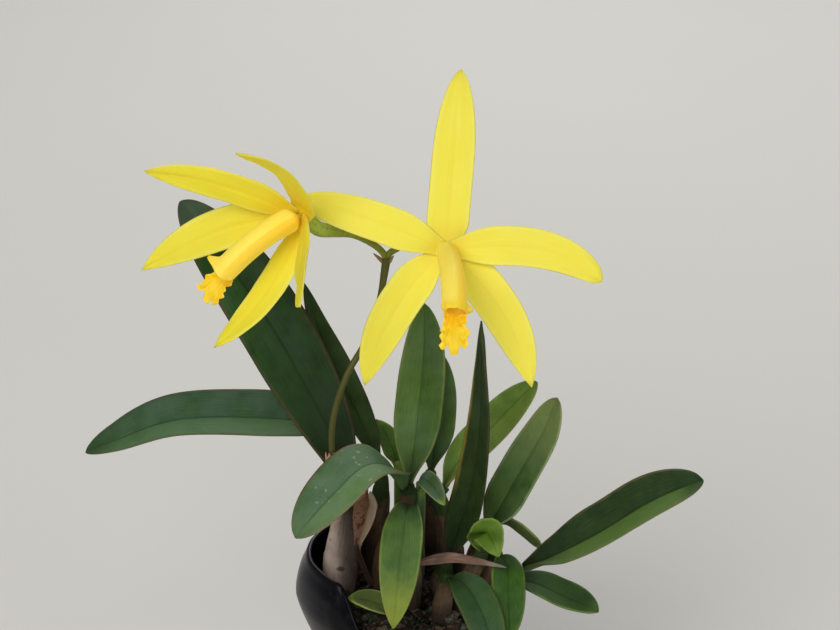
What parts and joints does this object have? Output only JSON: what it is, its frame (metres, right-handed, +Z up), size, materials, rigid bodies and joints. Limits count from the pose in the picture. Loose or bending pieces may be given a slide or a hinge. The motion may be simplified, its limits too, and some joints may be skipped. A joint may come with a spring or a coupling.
{
  "type": "potted cattleya flavasulina orchid",
  "caption": "Potted rock-growing orchid: stiff channelled leaves on sheathed bulbs, and a flower stem with star-shaped yellow blooms that have rolled, frilled lips.",
  "frame": {"origin": "middle of the pot's foot, where it rests", "axes": "+Z up out of the pot; -Y the side that the blooms face; +X to the right seen from that side"},
  "size_m": [0.1313, 0.0596, 0.154],
  "materials": {
    "pot_plastic": "soft black plastic, satin with a few bright scuffs",
    "potting_mix": "damp bark and grey-green chips, matt",
    "rhizome": "woody creeping stem, matt",
    "bulb": "green stem in dry papery sheaths, matt",
    "leaf": "leathery green leaf with a grey bloom and a reddish edge, satin",
    "young_leaf": "yellow-green young leaf, satin",
    "stem": "olive green stem, satin",
    "dry_sheath": "dry pink-brown sheath, matt",
    "petal": "lemon yellow petal, soft satin",
    "lip": "golden yellow lip, soft satin"
  },
  "bodies": {
    "root": {"pot": "pot_plastic", "potting_mix": "potting_mix", "rhizome": "rhizome", "bulb_tall_left": "bulb", "leaf_tall_left": "leaf", "bulb_slim_left": "bulb", "leaf_slim_left": "leaf", "bulb_level_left": "bulb", "leaf_level_left": "leaf", "bulb_centre": "bulb", "leaf_centre": "leaf", "bulb_centre_back": "bulb", "leaf_centre_back": "leaf", "bulb_twisted": "bulb", "leaf_twisted": "leaf", "bulb_pale_back": "bulb", "leaf_pale_back": "leaf", "bulb_pale_right": "bulb", "leaf_pale_right": "leaf", "bulb_long_right": "bulb", "leaf_long_right": "leaf", "bulb_low_right": "bulb", "leaf_low_right": "leaf", "bulb_folded_front": "bulb", "leaf_folded_front": "leaf", "bulb_low_front": "bulb", "leaf_low_front": "leaf", "bulb_low_front_right": "bulb", "leaf_low_front_right": "leaf", "bulb_yellow_front": "bulb", "leaf_yellow_front": "leaf", "bulb_broad_left": "bulb", "leaf_broad_left": "leaf", "shoot_small_back": "young_leaf", "shoot_small_centre": "young_leaf", "shoot_small_low_left": "young_leaf", "shoot_sliver_right": "young_leaf", "flower_stem": "stem", "spathe": "dry_sheath", "dry_sheath": "dry_sheath", "dorsal_sepal_front": "petal", "petal_right_front": "petal", "petal_left_front": "petal", "lateral_sepal_left_front": "petal", "lateral_sepal_right_front": "petal", "lip_front": "lip", "column_front": "petal", "ovary_front": "stem", "dorsal_sepal_left": "petal", "petal_far_left": "petal", "petal_near_left": "petal", "lateral_sepal_far_left": "petal", "lateral_sepal_near_left": "petal", "lip_left": "lip", "column_left": "petal", "ovary_left": "stem"}
  },
  "joints": []
}
